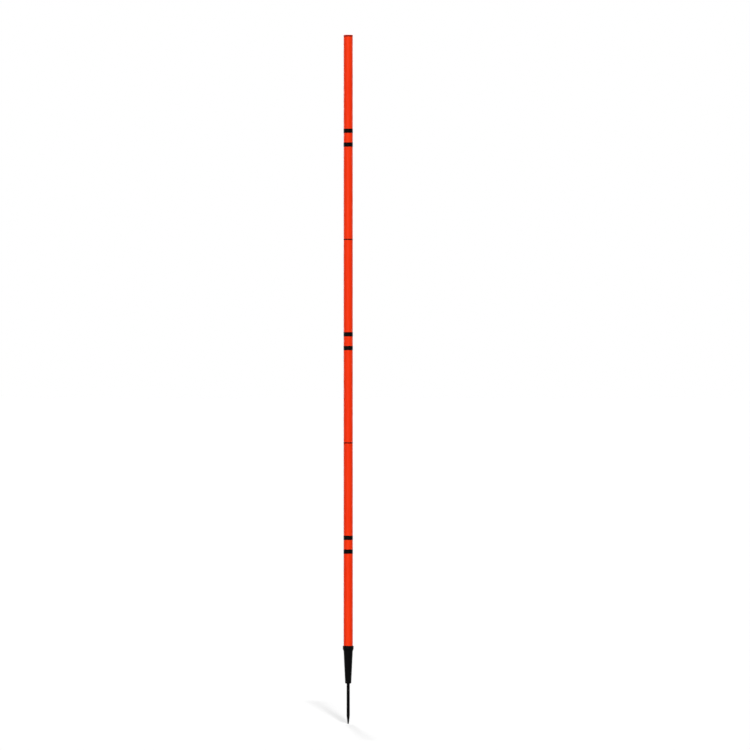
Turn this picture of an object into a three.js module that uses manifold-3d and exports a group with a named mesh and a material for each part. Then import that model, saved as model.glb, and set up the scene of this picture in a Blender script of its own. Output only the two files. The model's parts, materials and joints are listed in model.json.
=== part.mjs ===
// A three-piece slalom pole for training on turf. Three equal plastic tubes push together on moulded
// couplers. The lowest tube ends in a tapered holder with a steel spike, and the highest in a round cap.
// Sizes are millimetres. The origin is on the pole's axis at the turf line, where the holder's foot
// rests. The pole rises along +Z, and its spike runs down into the ground.

import * as THREE from "three";
import { mergeVertices } from "three/addons/utils/BufferGeometryUtils.js";
import Module from "manifold-3d";

const wasm = await Module();
wasm.setup();

// Facets round the pole and round the thin spike. Each arc of an outline gets twice arcSteps.
const roundFacets = 48;
const spikeFacets = 24;
const arcSteps = 2;

// Clearances between neighbours.
const seatGap = 0.05; // between faces that stand on each other
const slipGap = 0.1; // round an insert in a tube's bore
const castGap = 0.08; // round the steel inside its moulding
const glueGap = 0.02; // under the adhesive of a band
const cutOverrun = 1; // how far a cutter runs past what it cuts

// Tubes: three equal lengths of extruded pipe, sawn square and deburred.
const tubeLength = 500;
const tubeRadius = 11.5;
const tubeWall = 1.5;
const tubeEndChamfer = 0.4;
const tubeBore = tubeRadius - tubeWall;

// Bands: a pair of wrapped tapes at the middle of each tube.
const bandWidth = 11;
const bandSpacing = 34; // between the middles of the pair
const bandThickness = 0.2;

// Inserts: the ribbed ends of the couplers and the holder, which fit a tube's bore.
const insertRibCount = 6;
const insertRibHeight = 0.4;
const insertRibWidth = 1.6;
const insertRibFlank = 0.4;
const insertWall = 2.6;
const insertChamfer = 1.5;
const insertRibRadius = tubeBore - slipGap;
const insertCoreRadius = insertRibRadius - insertRibHeight;
const insertHollowRadius = insertCoreRadius - insertWall;

// Coupler: a plug glued into the tube below, a thin rim, and a spigot that the tube above slips over.
const couplerPlugLength = 35;
const couplerRimThickness = 2.5;
const couplerRimChamfer = 0.3;
const couplerSpigotLength = 55;
const couplerSpigotDraft = 0.35; // lost from the ribs' radius towards the spigot's tip

// Spike: a rod of blackened steel with a blunt turned point and grooves that lock it in its moulding.
const spikeRadius = 4;
const spikeReach = 100; // below the holder's foot
const spikeRoot = 76; // inside the holder
const spikePointLength = 20;
const spikeNoseRadius = 1.8;
const spikeRootChamfer = 0.8;
const lockGrooveCount = 3;
const lockGrooveWidth = 5;
const lockGrooveDepth = 0.6;
const lockGroovePitch = 16;
const lockGrooveInset = 12; // from the rod's upper end to the highest groove's lower edge

// Holder: a moulding round the rod, with a tapered body, a flared collar that stops the tube, and an
// insert that is glued into the tube's bore.
const bodyHeight = 80;
const bodyTopInset = 0.2; // from the tube's surface to the body's, under the collar
const footWall = 3.6; // round the rod, at the foot
const footRounding = 1.2;
const collarHeight = 13;
const collarLip = 2; // beyond the tube all round
const collarFlareHeight = 6;
const collarFlareRounding = 2.4;
const collarTopRounding = 1;
const holderInsertLength = 40;
const holderHollowDraft = 0.6;
const holderWebThickness = 6; // between the rod's end and the hollow above it
const footRadius = spikeRadius + footWall;
const bodyTopRadius = tubeRadius - bodyTopInset;
const collarRadius = tubeRadius + collarLip;
const holderHeight = bodyHeight + collarHeight;

// Cap ring: a flat black ring between the end cap's head and the tube.
const capRingThickness = 2;
const capRingChamfer = 0.3;

// End cap: a thin rounded head on a hollow plug with springy ring fins.
const capHeadThickness = 2;
const capHeadRounding = 1.2;
const capHeadChamfer = 0.3;
const capWall = 1.6;
const capFinCount = 3;
const capFinReach = 0.9;
const capFinPitch = 5.5;
const capFinThickness = 0.8;
const capFinFlank = 1.2;
const capFirstFin = 5.5; // from the head's underside, through the ring, to the highest fin
const capPlugTip = 3.5; // below the lowest fin
const capTipChamfer = 0.8;
const capFinRadius = tubeBore - slipGap;
const capPlugRadius = capFinRadius - capFinReach;
const capFinsLength = (capFinCount - 1) * capFinPitch + capFinThickness + capFinFlank;
const capPlugLength = capFirstFin + capFinsLength + capPlugTip;

// Finishes.
const orangePipe = { color: 0xf93a14, roughness: 0.38, metalness: 0 };
const orangeCap = { color: 0xe2330f, roughness: 0.5, metalness: 0 };
const blackTape = { color: 0x0f0f10, roughness: 0.45, metalness: 0 };
const blackMoulding = { color: 0x141415, roughness: 0.5, metalness: 0 };
const blackSteel = { color: 0x0d0d0e, roughness: 0.42, metalness: 0.6 };

// A straight-sided outline through points of radius and height.
function outlineOf(points) {
  const [start, ...rest] = points;
  const outline = new THREE.Path();
  outline.moveTo(...start);
  rest.forEach((point) => outline.lineTo(...point));
  return outline;
}

// Turns an outline of radius against height round the pole's axis.
function turned(outline, facets = roundFacets) {
  const geometry = new THREE.LatheGeometry(outline.getPoints(arcSteps), facets);
  return geometry.rotateX(Math.PI / 2);
}

// The angle on a circle where the line through an outside point touches it, on one side or the other.
function tangentAngle(centre, radius, point, side) {
  const across = point[0] - centre[0];
  const up = point[1] - centre[1];
  return Math.atan2(up, across) + side * Math.acos(radius / Math.hypot(across, up));
}

function solid(geometry) {
  const bare = geometry.clone();
  bare.deleteAttribute("normal");
  bare.deleteAttribute("uv");
  const merged = mergeVertices(bare);
  return new wasm.Manifold(
    new wasm.Mesh({
      numProp: 3,
      vertProperties: merged.attributes.position.array,
      triVerts: new Uint32Array(merged.index.array),
    }),
  );
}

function geometryOf(manifold) {
  const mesh = manifold.getMesh();
  const shared = new THREE.BufferGeometry();
  shared.setAttribute("position", new THREE.BufferAttribute(mesh.vertProperties, 3));
  shared.setIndex(new THREE.BufferAttribute(mesh.triVerts, 1));
  const geometry = shared.toNonIndexed();
  geometry.computeVertexNormals();
  return geometry;
}

function piece(name, geometry, finish, height = 0) {
  const mesh = new THREE.Mesh(geometry, new THREE.MeshStandardMaterial(finish));
  mesh.name = name;
  mesh.position.z = height;
  return mesh;
}

function tube() {
  return turned(
    outlineOf([
      [tubeBore + tubeEndChamfer, 0],
      [tubeRadius - tubeEndChamfer, 0],
      [tubeRadius, tubeEndChamfer],
      [tubeRadius, tubeLength - tubeEndChamfer],
      [tubeRadius - tubeEndChamfer, tubeLength],
      [tubeBore + tubeEndChamfer, tubeLength],
      [tubeBore, tubeLength - tubeEndChamfer],
      [tubeBore, tubeEndChamfer],
      [tubeBore + tubeEndChamfer, 0],
    ]),
  );
}

function band() {
  const inner = tubeRadius + glueGap;
  const outer = inner + bandThickness;
  return turned(
    outlineOf([
      [inner, -bandWidth / 2],
      [outer, -bandWidth / 2],
      [outer, bandWidth / 2],
      [inner, bandWidth / 2],
      [inner, -bandWidth / 2],
    ]),
  );
}

// A round bar with ribs along it, from one height to another.
function ribbedBar(low, high) {
  const crest = insertRibWidth / 2 / insertRibRadius;
  const root = (insertRibWidth / 2 + insertRibFlank) / insertCoreRadius;
  const pitch = (2 * Math.PI) / insertRibCount;
  const section = new THREE.Shape();
  for (let rib = 0; rib < insertRibCount; rib += 1) {
    const middle = rib * pitch;
    section.absarc(0, 0, insertRibRadius, middle - crest, middle + crest, false);
    section.absarc(0, 0, insertCoreRadius, middle + root, middle + pitch - root, false);
  }
  section.closePath();
  const bar = new THREE.ExtrudeGeometry(section, {
    depth: high - low,
    bevelEnabled: false,
    curveSegments: arcSteps,
  });
  return solid(bar.translate(0, 0, low));
}

// A ribbed bar with chamfered ends, whose ribs lose the draft between the knee and the top.
function insert(low, knee, high, draft) {
  const trim = outlineOf([
    [0, low],
    [insertRibRadius - insertChamfer, low],
    [insertRibRadius, low + insertChamfer],
    [insertRibRadius, knee],
    [insertRibRadius - draft, high - insertChamfer],
    [insertRibRadius - draft - insertChamfer, high],
    [0, high],
  ]);
  return ribbedBar(low, high).intersect(solid(turned(trim)));
}

// A round hole from one height to another, wider towards the top by the draft.
function roundHole(low, high, radius, draft) {
  const hole = outlineOf([
    [0, low],
    [radius - draft, low],
    [radius, high],
    [0, high],
  ]);
  return solid(turned(hole));
}

// Its height zero is the rim's underside, where the tube below ends.
function coupler() {
  const bottom = -couplerPlugLength;
  const top = couplerRimThickness + couplerSpigotLength;
  const rim = outlineOf([
    [0, 0],
    [tubeRadius - couplerRimChamfer, 0],
    [tubeRadius, couplerRimChamfer],
    [tubeRadius, couplerRimThickness - couplerRimChamfer],
    [tubeRadius - couplerRimChamfer, couplerRimThickness],
    [0, couplerRimThickness],
  ]);
  const bar = insert(bottom, couplerRimThickness, top, couplerSpigotDraft);
  const hollow = roundHole(bottom - cutOverrun, top + cutOverrun, insertHollowRadius, 0);
  return geometryOf(bar.add(solid(turned(rim))).subtract(hollow));
}

// The heights of the lower edges of the rod's grooves, from the lowest up.
function lockGrooves() {
  const highest = spikeRoot - lockGrooveInset;
  return Array.from({ length: lockGrooveCount }, (_, groove) => {
    return highest - (lockGrooveCount - 1 - groove) * lockGroovePitch;
  });
}

// Points up the rod's grooves with their sloping flanks, all moved out by the gap.
function lockPoints(gap) {
  const outside = spikeRadius + gap;
  const bottom = outside - lockGrooveDepth;
  return lockGrooves().flatMap((low) => [
    [outside, low + gap],
    [bottom, low + lockGrooveDepth + gap],
    [bottom, low + lockGrooveWidth - lockGrooveDepth - gap],
    [outside, low + lockGrooveWidth - gap],
  ]);
}

function spike() {
  const noseCentre = [0, spikeNoseRadius - spikeReach];
  const shoulder = [spikeRadius, spikePointLength - spikeReach];
  const touch = tangentAngle(noseCentre, spikeNoseRadius, shoulder, -1);
  const outline = new THREE.Path();
  outline.moveTo(0, -spikeReach);
  outline.absarc(...noseCentre, spikeNoseRadius, -Math.PI / 2, touch, false);
  outline.lineTo(...shoulder);
  lockPoints(0).forEach((point) => outline.lineTo(...point));
  outline.lineTo(spikeRadius, spikeRoot - spikeRootChamfer);
  outline.lineTo(spikeRadius - spikeRootChamfer, spikeRoot);
  outline.lineTo(0, spikeRoot);
  return turned(outline, spikeFacets);
}

// The holder's outside, from its rounded foot up the taper to the flared collar.
function holderOutside() {
  const footCentre = [footRadius - footRounding, footRounding];
  const bodyTop = [bodyTopRadius, bodyHeight];
  const flareCentre = [collarRadius - collarFlareRounding, bodyHeight + collarFlareHeight];
  const topCentre = [collarRadius - collarTopRounding, holderHeight - collarTopRounding];
  const footTouch = tangentAngle(footCentre, footRounding, bodyTop, -1);
  const flareTouch = tangentAngle(flareCentre, collarFlareRounding, bodyTop, 1);
  const outline = new THREE.Path();
  outline.moveTo(0, 0);
  outline.lineTo(footCentre[0], 0);
  outline.absarc(...footCentre, footRounding, -Math.PI / 2, footTouch, false);
  outline.lineTo(...bodyTop);
  outline.absarc(...flareCentre, collarFlareRounding, flareTouch, 0, false);
  outline.absarc(...topCentre, collarTopRounding, 0, Math.PI / 2, false);
  outline.lineTo(0, holderHeight);
  return solid(turned(outline));
}

// The hollow that the moulding leaves round the rod.
function rodHollow() {
  const outside = spikeRadius + castGap;
  const end = spikeRoot + castGap;
  const hollow = outlineOf([
    [0, -cutOverrun],
    [outside, -cutOverrun],
    ...lockPoints(castGap),
    [outside, end],
    [0, end],
  ]);
  return solid(turned(hollow, spikeFacets));
}

function holder() {
  const top = holderHeight + holderInsertLength;
  const web = spikeRoot + castGap + holderWebThickness;
  const bar = insert(bodyHeight, holderHeight, top, 0);
  const core = roundHole(web, top + cutOverrun, insertHollowRadius, holderHollowDraft);
  return geometryOf(holderOutside().add(bar).subtract(rodHollow()).subtract(core));
}

// Its height zero is its underside, where the top tube ends.
function capRing() {
  const inner = capPlugRadius + slipGap;
  return turned(
    outlineOf([
      [inner, 0],
      [tubeRadius - capRingChamfer, 0],
      [tubeRadius, capRingChamfer],
      [tubeRadius, capRingThickness - capRingChamfer],
      [tubeRadius - capRingChamfer, capRingThickness],
      [inner, capRingThickness],
      [inner, 0],
    ]),
  );
}

// Its height zero is the head's underside, which stands on the ring.
function endCap() {
  const hollowRadius = capPlugRadius - capWall;
  const headCentre = [tubeRadius - capHeadRounding, capHeadThickness - capHeadRounding];
  const outline = outlineOf([
    [hollowRadius, -capPlugLength],
    [capPlugRadius - capTipChamfer, -capPlugLength],
    [capPlugRadius, capTipChamfer - capPlugLength],
  ]);
  for (let fin = capFinCount - 1; fin >= 0; fin -= 1) {
    const top = -capFirstFin - fin * capFinPitch;
    outline.lineTo(capPlugRadius, top - capFinThickness - capFinFlank);
    outline.lineTo(capFinRadius, top - capFinThickness);
    outline.lineTo(capFinRadius, top);
    outline.lineTo(capPlugRadius, top);
  }
  outline.lineTo(capPlugRadius, 0);
  outline.lineTo(tubeRadius - capHeadChamfer, 0);
  outline.lineTo(tubeRadius, capHeadChamfer);
  outline.absarc(...headCentre, capHeadRounding, 0, Math.PI / 2, false);
  outline.lineTo(0, capHeadThickness);
  outline.lineTo(0, capHeadThickness - capWall);
  outline.lineTo(hollowRadius, capHeadThickness - capWall);
  outline.lineTo(hollowRadius, -capPlugLength);
  return turned(outline);
}

// One tube with its pair of bands. Its height zero is the tube's lower end.
function section(name) {
  const middle = tubeLength / 2;
  const group = new THREE.Group();
  group.add(piece(`${name}_tube`, tube(), orangePipe));
  group.add(piece(`${name}_tube_lower_band`, band(), blackTape, middle - bandSpacing / 2));
  group.add(piece(`${name}_tube_upper_band`, band(), blackTape, middle + bandSpacing / 2));
  return group;
}

const tubeTop = tubeLength + seatGap;
const sectionPitch = tubeTop + couplerRimThickness + seatGap;

const lowerSection = section("lower");
lowerSection.position.z = holderHeight + seatGap;
lowerSection.add(piece("lower_coupler", coupler(), blackMoulding, tubeTop));

const middleSection = section("middle");
middleSection.position.z = lowerSection.position.z + sectionPitch;
middleSection.add(piece("upper_coupler", coupler(), blackMoulding, tubeTop));

const topSection = section("top");
topSection.position.z = middleSection.position.z + sectionPitch;
topSection.add(piece("cap_ring", capRing(), blackMoulding, tubeTop));
topSection.add(piece("end_cap", endCap(), orangeCap, tubeTop + capRingThickness + seatGap));

const pole = new THREE.Group();
pole.add(piece("ground_spike", spike(), blackSteel));
pole.add(piece("spike_holder", holder(), blackMoulding));
pole.add(lowerSection, middleSection, topSection);

export default pole;
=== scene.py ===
# A slalom pole for training on turf: three orange pipes with pairs of black tapes, joined by ribbed
# couplers, under a thin round cap, in a tapered holder with a steel spike. Each piece is made afresh in
# the place of the node that it stands for. Lengths are metres, and the pole's axis is the Z axis.

import json
import math

import bmesh
import bpy
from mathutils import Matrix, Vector


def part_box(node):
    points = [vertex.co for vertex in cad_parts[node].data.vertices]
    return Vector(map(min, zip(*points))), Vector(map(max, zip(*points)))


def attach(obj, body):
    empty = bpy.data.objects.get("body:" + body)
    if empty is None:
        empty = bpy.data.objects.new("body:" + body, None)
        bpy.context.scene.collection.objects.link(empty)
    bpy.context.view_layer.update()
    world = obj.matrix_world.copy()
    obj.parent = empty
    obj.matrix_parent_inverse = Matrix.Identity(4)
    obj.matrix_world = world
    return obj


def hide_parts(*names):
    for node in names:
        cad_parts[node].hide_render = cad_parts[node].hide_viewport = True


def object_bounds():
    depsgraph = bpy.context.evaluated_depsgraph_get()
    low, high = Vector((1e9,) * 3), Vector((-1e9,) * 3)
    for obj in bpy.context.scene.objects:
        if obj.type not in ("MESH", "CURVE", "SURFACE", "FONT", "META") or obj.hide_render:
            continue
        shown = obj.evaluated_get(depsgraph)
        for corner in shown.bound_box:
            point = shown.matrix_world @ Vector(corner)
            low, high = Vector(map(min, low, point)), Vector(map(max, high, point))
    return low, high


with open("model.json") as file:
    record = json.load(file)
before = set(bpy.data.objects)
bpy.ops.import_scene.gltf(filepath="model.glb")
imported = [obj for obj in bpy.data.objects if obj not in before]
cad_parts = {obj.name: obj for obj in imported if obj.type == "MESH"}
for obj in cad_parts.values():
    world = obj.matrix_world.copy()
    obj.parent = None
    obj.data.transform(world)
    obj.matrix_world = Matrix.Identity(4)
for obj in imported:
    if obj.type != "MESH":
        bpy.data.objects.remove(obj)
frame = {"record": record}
cad_low, cad_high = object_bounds()
spike_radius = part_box("ground_spike")[1].x
record = frame["record"]

mm = 0.001

# Steps round the pole and round the spike. The edges of an insert's ribs fall on whole steps.
round_steps = 144
rod_steps = 96
arc_steps = 5  # along each rounding of an outline
seam_reach = 0.001 * mm  # points closer than this are one point

# How far the edges are rounded off: sawn pipe, moulded pieces and turned steel.
sawn_edge = 0.4 * mm
moulded_edge = 0.12 * mm
turned_edge = 0.15 * mm
edge_steps = 3  # across each rounded edge
rounded_above = math.radians(25)  # an edge that bends more than this is rounded off
creased_above = math.radians(50)  # and one that bends more than this is shaded as a crease

# Clearances between neighbours.
seat_gap = 0.05 * mm
cast_gap = 0.08 * mm

# Pipes: sawn square.
pipe_wall = 1.5 * mm

# Tapes: each wound once round its pipe, with its outer end stuck over its inner one.
tape_thickness = 0.09 * mm
tape_overlap = math.radians(48)
tape_climb = math.radians(6)  # the arc over which the outer end climbs onto the inner one
tape_start = math.radians(62)  # where the inner end lies, behind the pole
tape_margin = 0.25 * mm  # kept free at each edge for the waver and the drift
tape_waver = 0.06 * mm
tape_waves = 7
tape_drift = 0.12 * mm  # how far the winding runs off square, up or down
tape_steps = 200
tape_rows = 6
tape_lift = 0.01 * mm  # under the outer end
glue_gap = 0.02 * mm

# Inserts: the ribbed ends that fit a pipe's bore.
insert_gap = 0.1 * mm
rib_count = 6
rib_height = 0.4 * mm
rib_crest = math.radians(5)  # to each side of the rib's middle
rib_flank = math.radians(2.5)
insert_wall = 2.6 * mm
insert_chamfer = 1.5 * mm
spigot_draft = 0.35 * mm
rim_chamfer = 0.3 * mm

# Spike: a drawn rod with grooves that lock it in its holder, and a turned point.
point_length = 20 * mm
nose_radius = 1.8 * mm
root_chamfer = 0.8 * mm
groove_count = 3
groove_width = 5 * mm
groove_depth = 0.6 * mm
groove_pitch = 16 * mm
groove_inset = 12 * mm  # from the rod's upper end to the highest groove's lower edge

# Holder: a tapered body, a flared collar that stops the pipe, and an insert above it.
body_height = 80 * mm
body_top_inset = 0.2 * mm  # from the pipe's surface to the body's, under the collar
foot_wall = 3.6 * mm
foot_rounding = 1.2 * mm
collar_height = 13 * mm
flare_height = 6 * mm
flare_rounding = 2.4 * mm
collar_rounding = 1 * mm
hollow_draft = 0.6 * mm
web_thickness = 6 * mm
parting_ridge = 0.1 * mm  # the mould's parting line, up both sides

# End cap: a thin rounded head with a gate mark, on a black ring and a hollow plug with ring fins.
ring_chamfer = 0.3 * mm
head_thickness = 2 * mm
head_rounding = 1.2 * mm
head_chamfer = 0.3 * mm
cap_wall = 1.6 * mm
fin_count = 3
fin_reach = 0.9 * mm
fin_pitch = 5.5 * mm
fin_thickness = 0.8 * mm
fin_flank = 1.2 * mm
first_fin = 5.5 * mm  # from the head down, through the ring, to the highest fin
tip_chamfer = 0.8 * mm
gate_radius = 2.4 * mm
gate_depth = 0.25 * mm

# Patterns: the part of a noise's range that is spread over a colour or a value, and the angle that
# a wave texture runs through in each unit of length.
noise_low = 0.3
noise_high = 0.7
wave_radians = 20

# Camera: level, square to the pole and a long way off. Rows and columns are the picture's pixels.
picture_side = 750
pole_column = 348.2
top_row = 34.95
tip_row = 723.9
camera_distance = 14
sensor_width = 36  # of the lens's own millimetres
far_clip = 1000

# Stage: a white room whose walls and floor show brighter than they light the pole.
open_sky = 0.08  # the room's own light, against 1 for its white walls as the camera sees them
floor_glow = 0.637  # the floor's own light as the camera sees it, which no shadow takes
floor_tone = 0.2  # its tone as the camera sees it, which the lamps light and the shadow darkens
floor_bounce = 0.05  # its tone for the light that it throws back on the pole
floor_reach = 200

# The bodies that the record gives the nodes.
body_of = {node: body for body, nodes in record["behaviour"]["bodies"].items() for node in nodes}


# Outlines and meshes.

def arc(centre, radius, start, end):
    """Points of a rounding, by radius and height, from one angle to another."""
    angles = (start + (end - start) * step / arc_steps for step in range(arc_steps + 1))
    return [
        (centre[0] + radius * math.cos(angle), centre[1] + radius * math.sin(angle))
        for angle in angles]


def tangent_angle(centre, radius, point, side):
    """The angle on a rounding where a line from a point outside touches it. The side is -1 or 1."""
    across, up = point[0] - centre[0], point[1] - centre[1]
    return math.atan2(up, across) + side * math.acos(radius / math.hypot(across, up))


def turned(outline, steps=round_steps):
    """Turns an outline of radius and height round the pole's axis."""
    mesh = bmesh.new()
    corners = [mesh.verts.new((radius, 0, height)) for radius, height in outline]
    sides = [mesh.edges.new(ends) for ends in zip(corners, corners[1:])]
    bmesh.ops.spin(
        mesh, geom=corners + sides, cent=(0, 0, 0), axis=(0, 0, 1), angle=math.tau, steps=steps,
        use_merge=True)
    bmesh.ops.remove_doubles(mesh, verts=mesh.verts, dist=seam_reach)
    bmesh.ops.recalc_face_normals(mesh, faces=mesh.faces)
    return mesh


def bends(edge, angle):
    """Whether two faces meet at an edge in a sharper bend than an angle."""
    return len(edge.link_faces) == 2 and edge.calc_face_angle() > angle


def soften(mesh, width):
    """Rounds off the sharp edges."""
    edges = [edge for edge in mesh.edges if bends(edge, rounded_above)]
    bmesh.ops.bevel(
        mesh, geom=edges, offset=width, offset_type="OFFSET", segments=edge_steps, profile=0.5,
        affect="EDGES", material=-1, clamp_overlap=True)


def finished(name, mesh, finish, node):
    """Makes the mesh the piece that stands for a node, with its finish, on that node's body."""
    for face in mesh.faces:
        face.smooth = True
    for edge in mesh.edges:
        edge.smooth = not bends(edge, creased_above)
    data = bpy.data.meshes.new(name)
    mesh.to_mesh(data)
    mesh.free()
    data.materials.append(finish)
    piece = bpy.data.objects.new(name, data)
    bpy.context.scene.collection.objects.link(piece)
    piece.modifiers.new("even_shading", "WEIGHTED_NORMAL").keep_sharp = True
    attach(piece, body_of[node])
    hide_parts(node)


# Pieces.

def pipe(section):
    """A length of pipe, sawn square at both ends."""
    node = f"{section}_tube"
    low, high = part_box(node)
    bore = high.x - pipe_wall
    wall = [(bore, low.z), (high.x, low.z), (high.x, high.z), (bore, high.z), (bore, low.z)]
    mesh = turned(wall)
    soften(mesh, sawn_edge)
    finished(f"{section}_pipe", mesh, extruded_pipe, node)


def tape(section, place):
    """Winds a strip once round the pipe. It starts as a flat sheet one unit long and one wide."""
    node = f"{section}_tube_{place}_band"
    low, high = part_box(node)
    middle = (low.z + high.z) / 2
    width = high.z - low.z - 2 * tape_margin
    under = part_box(f"{section}_tube")[1].x + glue_gap
    phase = middle / mm  # each tape wavers in its own way
    mesh = bmesh.new()
    bmesh.ops.create_grid(mesh, x_segments=tape_steps, y_segments=tape_rows, size=0.5)
    for point in mesh.verts:
        wound = (point.co.x + 0.5) * (math.tau + tape_overlap)
        angle = tape_start + wound
        climbed = min(max((wound - math.tau) / tape_climb + 1, 0), 1)
        waver = tape_waver * math.sin(tape_waves * wound + phase)
        drift = tape_drift * (wound / math.tau - 0.5)
        radius = under + tape_thickness + climbed * (tape_thickness + tape_lift)
        point.co = (
            radius * math.cos(angle), radius * math.sin(angle),
            middle + width * point.co.y + waver + drift)
    bmesh.ops.recalc_face_normals(mesh, faces=mesh.faces)
    bmesh.ops.solidify(mesh, geom=mesh.faces, thickness=tape_thickness)
    finished(f"{section}_pipe_{place}_tape", mesh, vinyl_tape, node)


def insert_crest(node):
    """The radius of an insert's ribs, from the pipe that it goes into."""
    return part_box(node)[1].x - pipe_wall - insert_gap


def sink_between_ribs(mesh, crest):
    """Lowers an insert's outside between its ribs."""
    core = crest - rib_height
    pitch = math.tau / rib_count
    for point in mesh.verts:
        radius = point.co.xy.length
        turn = math.atan2(point.co.y, point.co.x) % pitch
        from_rib = min(turn, pitch - turn)
        if core < radius < crest + seam_reach and from_rib > rib_crest + rib_flank / 2:
            point.co.xy *= core / radius


def coupler(place, below, above):
    """A rim between two pipes, with a ribbed plug for the lower one and a spigot for the upper one."""
    node = f"{place}_coupler"
    low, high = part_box(node)
    crest = insert_crest(f"{below}_tube")
    hollow = crest - rib_height - insert_wall
    tip = crest - spigot_draft
    rim_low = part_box(f"{below}_tube")[1].z + seat_gap
    rim_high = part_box(f"{above}_tube")[0].z - seat_gap
    mesh = turned([
        (hollow, low.z),
        (crest - insert_chamfer, low.z),
        (crest, low.z + insert_chamfer),
        (crest, rim_low),
        (high.x - rim_chamfer, rim_low),
        (high.x, rim_low + rim_chamfer),
        (high.x, rim_high - rim_chamfer),
        (high.x - rim_chamfer, rim_high),
        (crest, rim_high),
        (tip, high.z - insert_chamfer),
        (tip - insert_chamfer, high.z),
        (hollow, high.z),
        (hollow, low.z),
    ])
    sink_between_ribs(mesh, crest)
    soften(mesh, moulded_edge)
    finished(f"{place}_coupler_moulding", mesh, grained_moulding, node)


def groove_points(rod_top, outside, gap):
    """Points up the rod's grooves with their sloping flanks, all moved out by the gap."""
    bottom = outside - groove_depth
    points = []
    for groove in reversed(range(groove_count)):
        low = rod_top - groove_inset - groove * groove_pitch
        points += [
            (outside, low + gap),
            (bottom, low + groove_depth + gap),
            (bottom, low + groove_width - groove_depth - gap),
            (outside, low + groove_width - gap),
        ]
    return points


def spike():
    """A drawn rod with a blunt turned point, and grooves near its upper end."""
    low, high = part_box("ground_spike")
    nose = (0, low.z + nose_radius)
    shoulder = (high.x, low.z + point_length)
    touch = tangent_angle(nose, nose_radius, shoulder, -1)
    mesh = turned([
        *arc(nose, nose_radius, -math.pi / 2, touch),
        shoulder,
        *groove_points(high.z, high.x, gap=0),
        (high.x, high.z - root_chamfer),
        (high.x - root_chamfer, high.z),
        (0, high.z),
    ], steps=rod_steps)
    soften(mesh, turned_edge)
    finished("spike_rod", mesh, blackened_steel, "ground_spike")


def raise_parting_line(mesh, inner, outer, low, high):
    """Raises the line where the mould's halves met, between two radii and between two heights."""
    for point in mesh.verts:
        radius = point.co.xy.length
        on_line = abs(point.co.y) < seam_reach
        if on_line and radius > inner and low < point.co.z < high:
            point.co.x *= min(radius + parting_ridge, outer) / radius


def holder():
    """A tapered body round the rod, a flared collar under the pipe, and a ribbed insert in it."""
    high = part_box("spike_holder")[1]
    rod_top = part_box("ground_spike")[1].z
    pipe_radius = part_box("lower_tube")[1].x
    hole = spike_radius + cast_gap
    hole_top = rod_top + cast_gap
    top = body_height + collar_height
    crest = insert_crest("lower_tube")
    hollow = crest - rib_height - insert_wall
    foot_flat = spike_radius + foot_wall - foot_rounding
    foot_centre = (foot_flat, foot_rounding)
    body_top = (pipe_radius - body_top_inset, body_height)
    flare_centre = (high.x - flare_rounding, body_height + flare_height)
    collar_centre = (high.x - collar_rounding, top - collar_rounding)
    foot_touch = tangent_angle(foot_centre, foot_rounding, body_top, -1)
    flare_touch = tangent_angle(flare_centre, flare_rounding, body_top, 1)
    mesh = turned([
        (0, hole_top),
        (hole, hole_top),
        *reversed(groove_points(rod_top, hole, gap=cast_gap)),
        (hole, 0),
        *arc(foot_centre, foot_rounding, -math.pi / 2, foot_touch),
        body_top,
        *arc(flare_centre, flare_rounding, flare_touch, 0),
        *arc(collar_centre, collar_rounding, 0, math.pi / 2),
        (crest, top),
        (crest, high.z - insert_chamfer),
        (crest - insert_chamfer, high.z),
        (hollow, high.z),
        (hollow - hollow_draft, hole_top + web_thickness),
        (0, hole_top + web_thickness),
    ])
    sink_between_ribs(mesh, crest)
    raise_parting_line(mesh, foot_flat, high.x, foot_rounding, top - collar_rounding)
    soften(mesh, moulded_edge)
    finished("holder_moulding", mesh, grained_moulding, "spike_holder")


def cap_plug():
    """The radius of the end cap's plug, inside its fins."""
    return insert_crest("top_tube") - fin_reach


def cap_ring():
    """A flat ring between the cap's head and the pipe."""
    low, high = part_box("cap_ring")
    bore = cap_plug() + insert_gap
    mesh = turned([
        (bore, low.z),
        (high.x - ring_chamfer, low.z),
        (high.x, low.z + ring_chamfer),
        (high.x, high.z - ring_chamfer),
        (high.x - ring_chamfer, high.z),
        (bore, high.z),
        (bore, low.z),
    ])
    soften(mesh, moulded_edge)
    finished("cap_ring_moulding", mesh, grained_moulding, "cap_ring")


def end_cap():
    """A thin head with a gate mark, over a hollow plug with ring fins."""
    low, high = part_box("end_cap")
    seat = high.z - head_thickness
    roof = high.z - cap_wall
    plug = cap_plug()
    fin = plug + fin_reach
    hollow = plug - cap_wall
    head_centre = (high.x - head_rounding, high.z - head_rounding)
    outline = [(plug - tip_chamfer, low.z), (plug, low.z + tip_chamfer)]
    for ring in reversed(range(fin_count)):
        top = seat - first_fin - ring * fin_pitch
        outline += [
            (plug, top - fin_thickness - fin_flank),
            (fin, top - fin_thickness),
            (fin, top),
            (plug, top),
        ]
    mesh = turned([
        (0, roof),
        (hollow, roof),
        (hollow, low.z),
        *outline,
        (plug, seat),
        (high.x - head_chamfer, seat),
        (high.x, seat + head_chamfer),
        *arc(head_centre, head_rounding, 0, math.pi / 2),
        (gate_radius, high.z),
        (gate_radius - gate_depth, high.z - gate_depth),
        (0, high.z - gate_depth),
    ])
    soften(mesh, moulded_edge)
    finished("cap_moulding", mesh, moulded_cap, "end_cap")


# Finishes.

def painted(red, green, blue):
    """A colour as light, from its values out of 255."""
    shares = (value / 255 for value in (red, green, blue))
    return [
        share / 12.92 if share <= 0.04045 else ((share + 0.055) / 1.055) ** 2.4
        for share in shares]


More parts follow.
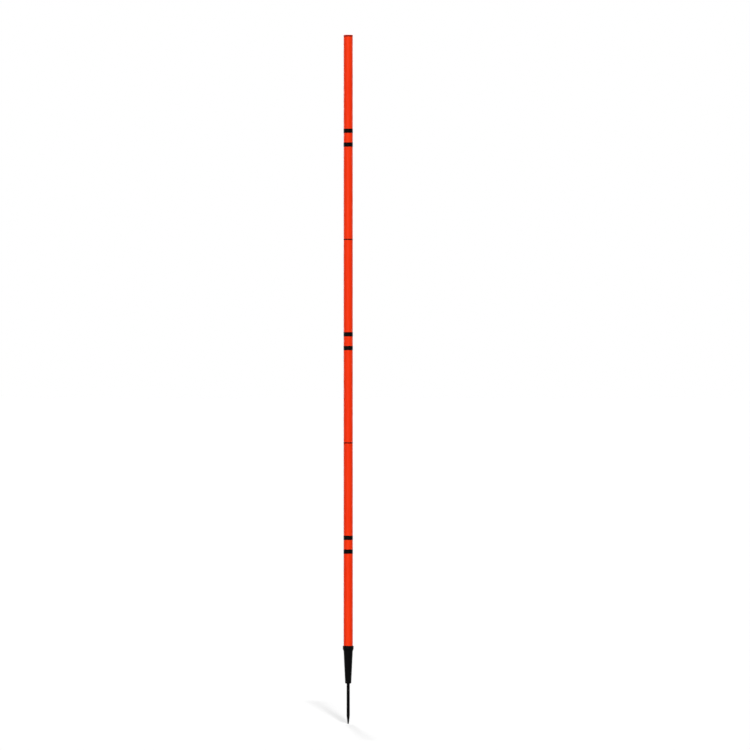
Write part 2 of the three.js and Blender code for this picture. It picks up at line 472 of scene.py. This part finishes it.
def add(finish, kind, inputs, **settings):
    """Adds a node to a finish, and sets or links its inputs."""
    node = finish.node_tree.nodes.new(kind)
    for name, value in settings.items():
        setattr(node, name, value)
    for name, value in inputs.items():
        if isinstance(value, bpy.types.NodeSocket):
            finish.node_tree.links.new(value, node.inputs[name])
        else:
            node.inputs[name].default_value = value
    return node


def new_finish(name, specular, metallic=0):
    """A material with its gloss, and its share of bare metal."""
    finish = bpy.data.materials.new(name)
    finish.use_nodes = True
    shader = finish.node_tree.nodes["Principled BSDF"]
    shader.inputs["Specular IOR Level"].default_value = specular
    shader.inputs["Metallic"].default_value = metallic
    return finish


def dress(finish, colour, roughness, normal):
    """Links the finish's colour, roughness and relief to its shader."""
    shader = finish.node_tree.nodes["Principled BSDF"]
    for name, value in (("Base Color", colour), ("Roughness", roughness), ("Normal", normal)):
        finish.node_tree.links.new(value, shader.inputs[name])


def grain(finish, size, stretch=1, detail=2):
    """Noise with features of a given size, drawn out along the pole by the stretch."""
    place = add(finish, "ShaderNodeTexCoord", {}).outputs["Object"]
    scale = (1 / size, 1 / size, 1 / size / stretch)
    fitted = add(finish, "ShaderNodeMapping", {"Vector": place, "Scale": scale}).outputs["Vector"]
    noise = add(finish, "ShaderNodeTexNoise", {"Vector": fitted, "Scale": 1, "Detail": detail})
    return noise.outputs["Fac"]


def spread(finish, pattern, low, high):
    """Carries a pattern over to a range of values."""
    return add(finish, "ShaderNodeMapRange", {
        "Value": pattern, "From Min": noise_low, "From Max": noise_high, "To Min": low,
        "To Max": high}).outputs["Result"]


def two_tone(finish, pattern, first, second):
    """Runs from one colour to another with a pattern."""
    ramp = add(finish, "ShaderNodeValToRGB", {"Fac": pattern})
    stops = ramp.color_ramp.elements
    for stop, place, colour in zip(stops, (noise_low, noise_high), (first, second)):
        stop.position = place
        stop.color = (*colour, 1)
    return ramp.outputs["Color"]


def blend(finish, coarse, fine, share=0.5):
    """Lays a fine pattern over a coarse one."""
    return add(finish, "ShaderNodeMix", {"Factor": share, "A": coarse, "B": fine}).outputs["Result"]


def relief(finish, pattern, depth, over=None):
    """Raises the surface with a pattern, over another relief if there is one."""
    inputs = {"Height": pattern, "Distance": depth}
    if over:
        inputs["Normal"] = over
    return add(finish, "ShaderNodeBump", inputs).outputs["Normal"]


def rings(finish, pitch, top):
    """Fine rings round the pole's axis, as a turning tool leaves them, up to a height."""
    place = add(finish, "ShaderNodeTexCoord", {}).outputs["Object"]
    scale = (0, 0, 1 / pitch)
    fitted = add(finish, "ShaderNodeMapping", {"Vector": place, "Scale": scale}).outputs["Vector"]
    wave = add(
        finish, "ShaderNodeTexWave", {"Vector": fitted, "Scale": math.tau / wave_radians},
        wave_type="BANDS", bands_direction="Z").outputs["Fac"]
    height = add(finish, "ShaderNodeSeparateXYZ", {"Vector": place}).outputs["Z"]
    below = add(finish, "ShaderNodeMath", {0: height, 1: top}, operation="LESS_THAN").outputs[0]
    return add(finish, "ShaderNodeMath", {0: wave, 1: below}, operation="MULTIPLY").outputs[0]


def pipe_finish():
    """Extruded pipe: fine die lines along it, and a slow drift of colour and gloss."""
    finish = new_finish("extruded_pipe", specular=0.12)
    die_lines = grain(finish, size=0.8 * mm, stretch=400)
    drift = grain(finish, size=30 * mm, stretch=4)
    streaks = blend(finish, drift, die_lines, share=0.65)
    colour = two_tone(finish, streaks, painted(255, 63, 13), painted(246, 43, 2))
    roughness = spread(finish, streaks, low=0.32, high=0.44)
    dress(finish, colour, roughness, relief(finish, die_lines, depth=0.03 * mm))
    return finish


def tape_finish():
    """Vinyl tape: a faint embossed grain, with wider patches under it."""
    finish = new_finish("vinyl_tape", specular=0.03)
    emboss = grain(finish, size=0.3 * mm)
    patches = grain(finish, size=5 * mm)
    texture = blend(finish, patches, emboss, share=0.75)
    colour = two_tone(finish, texture, painted(1, 1, 1), painted(14, 13, 14))
    roughness = spread(finish, texture, low=0.28, high=0.44)
    dress(finish, colour, roughness, relief(finish, emboss, depth=0.03 * mm))
    return finish


def moulding_finish():
    """Black moulding: an eroded grain, with faint flow marks under it."""
    finish = new_finish("grained_moulding", specular=0.03)
    flow = grain(finish, size=9 * mm, stretch=3)
    erosion = grain(finish, size=0.35 * mm, detail=3)
    texture = blend(finish, flow, erosion, share=0.75)
    colour = two_tone(finish, texture, painted(1, 1, 1), painted(14, 14, 15))
    roughness = spread(finish, texture, low=0.28, high=0.46)
    waves = relief(finish, flow, depth=0.03 * mm)
    dress(finish, colour, roughness, relief(finish, erosion, depth=0.06 * mm, over=waves))
    return finish


def steel_finish():
    """Blackened steel: drawn lines along the rod, and turned rings on its point."""
    finish = new_finish("blackened_steel", specular=0.03, metallic=0.6)
    drawn = grain(finish, size=0.3 * mm, stretch=60)
    blotches = grain(finish, size=6 * mm, stretch=2)
    texture = blend(finish, blotches, drawn)
    colour = two_tone(finish, texture, painted(1, 1, 2), painted(14, 14, 15))
    roughness = spread(finish, texture, low=0.22, high=0.4)
    lines = relief(finish, drawn, depth=0.015 * mm)
    turning = rings(finish, pitch=0.5 * mm, top=cad_low.z + point_length)
    dress(finish, colour, roughness, relief(finish, turning, depth=0.03 * mm, over=lines))
    return finish


def cap_finish():
    """Moulded cap: duller and a little deeper than the pipe, with a fine grain."""
    finish = new_finish("moulded_cap", specular=0.1)
    flow = grain(finish, size=8 * mm)
    fine = grain(finish, size=0.3 * mm)
    texture = blend(finish, flow, fine)
    colour = two_tone(finish, texture, painted(236, 53, 16), painted(222, 43, 10))
    roughness = spread(finish, texture, low=0.36, high=0.5)
    dress(finish, colour, roughness, relief(finish, fine, depth=0.05 * mm))
    return finish


# Stage.

def seen_directly(owner):
    """One for rays from the camera, off gloss and through glass, and nought for the rest."""
    path = add(owner, "ShaderNodeLightPath", {})
    gloss = add(
        owner, "ShaderNodeMath",
        {0: path.outputs["Is Camera Ray"], 1: path.outputs["Is Glossy Ray"]}, operation="MAXIMUM")
    glass = add(
        owner, "ShaderNodeMath",
        {0: gloss.outputs[0], 1: path.outputs["Is Transmission Ray"]}, operation="MAXIMUM")
    return glass.outputs[0]


def by_sight(owner, hidden, shown):
    """One value for rays that see directly, and another for the light that is thrown on the pole."""
    return add(owner, "ShaderNodeMapRange", {
        "Value": seen_directly(owner), "To Min": hidden, "To Max": shown}).outputs["Result"]


def room():
    """White walls all round, which light the pole less than they show."""
    world = bpy.data.worlds.new("white_room")
    world.use_nodes = True
    background = world.node_tree.nodes["Background"]
    background.inputs["Color"].default_value = (1, 1, 1, 1)
    strength = by_sight(world, hidden=open_sky, shown=1)
    world.node_tree.links.new(strength, background.inputs["Strength"])
    bpy.context.scene.world = world


def floor():
    """A white floor under the spike's point, which keeps a soft shadow."""
    finish = bpy.data.materials.new("studio_floor")
    finish.use_nodes = True
    shader = finish.node_tree.nodes["Principled BSDF"]
    shader.inputs["Roughness"].default_value = 1
    shader.inputs["Specular IOR Level"].default_value = 0
    shader.inputs["Emission Color"].default_value = (1, 1, 1, 1)
    tone = by_sight(finish, hidden=floor_bounce, shown=floor_tone)
    glow = by_sight(finish, hidden=0, shown=floor_glow)
    finish.node_tree.links.new(tone, shader.inputs["Base Color"])
    finish.node_tree.links.new(glow, shader.inputs["Emission Strength"])
    mesh = bmesh.new()
    bmesh.ops.create_grid(mesh, x_segments=1, y_segments=1, size=floor_reach)
    bmesh.ops.translate(mesh, verts=mesh.verts, vec=(0, 0, cad_low.z))
    data = bpy.data.meshes.new("studio_floor")
    mesh.to_mesh(data)
    mesh.free()
    data.materials.append(finish)
    plane = bpy.data.objects.new("studio_floor", data)
    bpy.context.scene.collection.objects.link(plane)


def lamp(name, turn, rise, strength, spread_angle):
    """A lamp far off, turned from the camera's side towards +X and raised above the floor."""
    turn, rise = math.radians(turn), math.radians(rise)
    towards = Vector(
        (math.sin(turn) * math.cos(rise), -math.cos(turn) * math.cos(rise), math.sin(rise)))
    light = bpy.data.lights.new(name, "SUN")
    light.energy = strength
    light.angle = math.radians(spread_angle)
    fixture = bpy.data.objects.new(name, light)
    fixture.rotation_euler = towards.to_track_quat("Z", "Y").to_euler()
    bpy.context.scene.collection.objects.link(fixture)


def camera():
    """Looks along +Y, level, so that the pole's ends fall on their rows of the picture."""
    pixel = (cad_high.z - cad_low.z) / (tip_row - top_row)
    middle = picture_side / 2
    data = bpy.data.cameras.new("photo_camera")
    data.sensor_width = sensor_width
    data.lens = sensor_width * camera_distance / (picture_side * pixel)
    data.clip_end = far_clip
    eye = bpy.data.objects.new("photo_camera", data)
    eye.location = (
        (middle - pole_column) * pixel, -camera_distance, cad_low.z + (tip_row - middle) * pixel)
    eye.rotation_euler = (math.pi / 2, 0, 0)
    bpy.context.scene.collection.objects.link(eye)
    bpy.context.scene.camera = eye


extruded_pipe = pipe_finish()
vinyl_tape = tape_finish()
grained_moulding = moulding_finish()
blackened_steel = steel_finish()
moulded_cap = cap_finish()

spike()
holder()
for section in ("lower", "middle", "top"):
    pipe(section)
    tape(section, "lower")
    tape(section, "upper")
coupler("lower", below="lower", above="middle")
coupler("upper", below="middle", above="top")
cap_ring()
end_cap()

camera()
room()
floor()
lamp("key_lamp", turn=5.6, rise=60, strength=2.4, spread_angle=1.5)
lamp("second_lamp", turn=4.7, rise=59, strength=1.1, spread_angle=3)
lamp("fill_lamp", turn=-12, rise=12, strength=1.2, spread_angle=40)
lamp("back_lamp", turn=-175.1, rise=70, strength=1.65, spread_angle=1.5)
lamp("rear_fill_lamp", turn=180, rise=14, strength=0.45, spread_angle=40)
lamp("left_fill_lamp", turn=-135, rise=15, strength=1.3, spread_angle=40)
lamp("right_fill_lamp", turn=135, rise=15, strength=1.3, spread_angle=40)
bpy.context.scene.view_settings.view_transform = "Standard"
